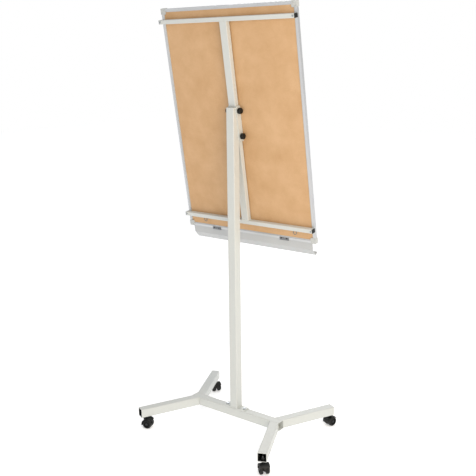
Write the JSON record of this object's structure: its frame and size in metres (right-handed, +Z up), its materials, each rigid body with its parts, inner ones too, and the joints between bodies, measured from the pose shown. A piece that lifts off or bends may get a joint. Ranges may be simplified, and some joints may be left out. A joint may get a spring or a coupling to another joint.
{
  "type": "mobile flipchart stand",
  "caption": "Framed writing board with paper clamp, pad hooks and pen tray, tilting and sliding on a square post over splayed legs with casters.",
  "frame": {"origin": "on the floor under the axis of the post", "axes": "+X along the board and the base beam, +Y to the back of the stand, +Z up; the writing side faces -Y"},
  "size_m": [0.7504, 0.5978, 1.8956],
  "materials": {
    "painted": "satin off-white powder coat",
    "board_frame": "silver anodised",
    "caps": "light grey moulded",
    "tray": "light grey powder coat",
    "hardboard": "raw tempered hardboard",
    "core": "fibreboard core",
    "writing": "gloss white enamel",
    "black_plastic": "matte black moulded",
    "wheel_plastic": "matte black nylon",
    "zinc": "bright zinc plated",
    "dark_steel": "dark zinc plated",
    "nylon": "natural nylon",
    "rubber": "soft grey",
    "wire": "grey coated wire"
  },
  "bodies": {
    "base": {"base_beam": "painted", "leg_front_right": "painted", "leg_front_left": "painted", "leg_rear_right": "painted", "leg_rear_left": "painted", "foot_plate": "painted", "foot_bolts": "zinc", "post": "painted", "pivot_studs": "zinc", "caster_stems": "zinc", "stem_nuts": "zinc"},
    "tilt_carriage": {"tilt_bracket": "painted", "glide_strips": "nylon"},
    "pivot_knob_right": {"pivot_knob_right": "black_plastic"},
    "pivot_knob_left": {"pivot_knob_left": "black_plastic"},
    "height_clamp": {"clamp_screw": "zinc", "clamp_knob": "black_plastic"},
    "board": {"spine": "painted", "upper_bar": "painted", "lower_bar": "painted", "bar_plugs": "black_plastic", "bar_screws": "zinc", "frame_top": "board_frame", "frame_bottom": "board_frame", "frame_right": "board_frame", "frame_left": "board_frame", "corner_caps": "caps", "back_panel": "hardboard", "core_panel": "core", "writing_sheet": "writing", "clamp_rail": "board_frame", "rail_screws": "zinc", "clamp_end_blocks": "black_plastic", "clamp_pins": "zinc", "pen_tray": "tray", "tray_clips": "zinc", "tray_screws": "dark_steel", "wire_hooks": "wire"},
    "paper_clamp": {"clamp_bar": "board_frame", "clamp_grip": "rubber"},
    "pad_hook_right": {"pad_hook_right": "black_plastic"},
    "pad_hook_left": {"pad_hook_left": "black_plastic"},
    "caster_front_right": {"caster_hood_front_right": "black_plastic", "caster_axle_front_right": "zinc"},
    "wheel_outer_front_right": {"wheel_outer_front_right": "wheel_plastic"},
    "wheel_inner_front_right": {"wheel_inner_front_right": "wheel_plastic"},
    "caster_front_left": {"caster_hood_front_left": "black_plastic", "caster_axle_front_left": "zinc"},
    "wheel_outer_front_left": {"wheel_outer_front_left": "wheel_plastic"},
    "wheel_inner_front_left": {"wheel_inner_front_left": "wheel_plastic"},
    "caster_rear_right": {"caster_hood_rear_right": "black_plastic", "caster_axle_rear_right": "zinc"},
    "wheel_outer_rear_right": {"wheel_outer_rear_right": "wheel_plastic"},
    "wheel_inner_rear_right": {"wheel_inner_rear_right": "wheel_plastic"},
    "caster_rear_left": {"caster_hood_rear_left": "black_plastic", "caster_axle_rear_left": "zinc"},
    "wheel_outer_rear_left": {"wheel_outer_rear_left": "wheel_plastic"},
    "wheel_inner_rear_left": {"wheel_inner_rear_left": "wheel_plastic"}
  },
  "joints": [
    {"name": "board_tilt", "type": "hinge", "parent": "base", "child": "tilt_carriage", "pos_m": [0, -0.011, 1.461], "axis": [-1, 0, 0], "range_deg": [-2, 12]},
    {"name": "board_height", "type": "slide", "parent": "tilt_carriage", "child": "board", "axis": [0, 0.1633, 0.9866], "range_m": [-0.2, 0.1]},
    {"name": "pivot_knob_right_turn", "type": "hinge", "parent": "base", "child": "pivot_knob_right", "pos_m": [0.031, -0.011, 1.461], "axis": [1, 0, 0], "range_deg": [0, 360]},
    {"name": "pivot_knob_left_turn", "type": "hinge", "parent": "base", "child": "pivot_knob_left", "pos_m": [-0.031, -0.011, 1.461], "axis": [-1, 0, 0], "range_deg": [0, 360]},
    {"name": "height_clamp_turn", "type": "hinge", "parent": "tilt_carriage", "child": "height_clamp", "pos_m": [-0.031, -0.02897, 1.35248], "axis": [-1, 0, 0], "range_deg": [0, 360]},
    {"name": "paper_clamp_lift", "type": "hinge", "parent": "board", "child": "paper_clamp", "pos_m": [0, 0.02244, 1.85584], "axis": [-1, 0, 0], "range_deg": [0, 110]},
    {"name": "pad_hook_right_slide", "type": "slide", "parent": "board", "child": "pad_hook_right", "axis": [1, 0, 0], "range_m": [-0.06, 0.06]},
    {"name": "pad_hook_left_slide", "type": "slide", "parent": "board", "child": "pad_hook_left", "axis": [1, 0, 0], "range_m": [-0.06, 0.06]},
    {"name": "caster_front_right_swivel", "type": "hinge", "parent": "base", "child": "caster_front_right", "pos_m": [0.34045, -0.2583, 0.043], "axis": [0, 0, 1], "continuous": true},
    {"name": "wheel_outer_front_right_spin", "type": "hinge", "parent": "caster_front_right", "child": "wheel_outer_front_right", "pos_m": [0.31963, -0.26337, 0.022], "axis": [-0.4695, -0.8829, 0], "continuous": true},
    {"name": "wheel_inner_front_right_spin", "type": "hinge", "parent": "caster_front_right", "child": "wheel_inner_front_right", "pos_m": [0.33301, -0.2382, 0.022], "axis": [-0.4695, -0.8829, 0], "continuous": true},
    {"name": "caster_front_left_swivel", "type": "hinge", "parent": "base", "child": "caster_front_left", "pos_m": [-0.34045, -0.2583, 0.043], "axis": [0, 0, 1], "continuous": true},
    {"name": "wheel_outer_front_left_spin", "type": "hinge", "parent": "caster_front_left", "child": "wheel_outer_front_left", "pos_m": [-0.33082, -0.27744, 0.022], "axis": [0.9659, -0.2588, 0], "continuous": true},
    {"name": "wheel_inner_front_left_spin", "type": "hinge", "parent": "caster_front_left", "child": "wheel_inner_front_left", "pos_m": [-0.35835, -0.27006, 0.022], "axis": [0.9659, -0.2588, 0], "continuous": true},
    {"name": "caster_rear_right_swivel", "type": "hinge", "parent": "base", "child": "caster_rear_right", "pos_m": [0.34045, 0.2583, 0.043], "axis": [0, 0, 1], "continuous": true},
    {"name": "wheel_outer_rear_right_spin", "type": "hinge", "parent": "caster_rear_right", "child": "wheel_outer_rear_right", "pos_m": [0.33028, 0.23944, 0.022], "axis": [0.342, -0.9397, 0], "continuous": true},
    {"name": "wheel_inner_rear_right_spin", "type": "hinge", "parent": "caster_rear_right", "child": "wheel_inner_rear_right", "pos_m": [0.32054, 0.26622, 0.022], "axis": [0.342, -0.9397, 0], "continuous": true},
    {"name": "caster_rear_left_swivel", "type": "hinge", "parent": "base", "child": "caster_rear_left", "pos_m": [-0.34045, 0.2583, 0.043], "axis": [0, 0, 1], "continuous": true},
    {"name": "wheel_outer_rear_left_spin", "type": "hinge", "parent": "caster_rear_left", "child": "wheel_outer_rear_left", "pos_m": [-0.36186, 0.25767, 0.022], "axis": [-0.6428, -0.766, 0], "continuous": true},
    {"name": "wheel_inner_rear_left_spin", "type": "hinge", "parent": "caster_rear_left", "child": "wheel_inner_rear_left", "pos_m": [-0.34354, 0.2795, 0.022], "axis": [-0.6428, -0.766, 0], "continuous": true}
  ]
}
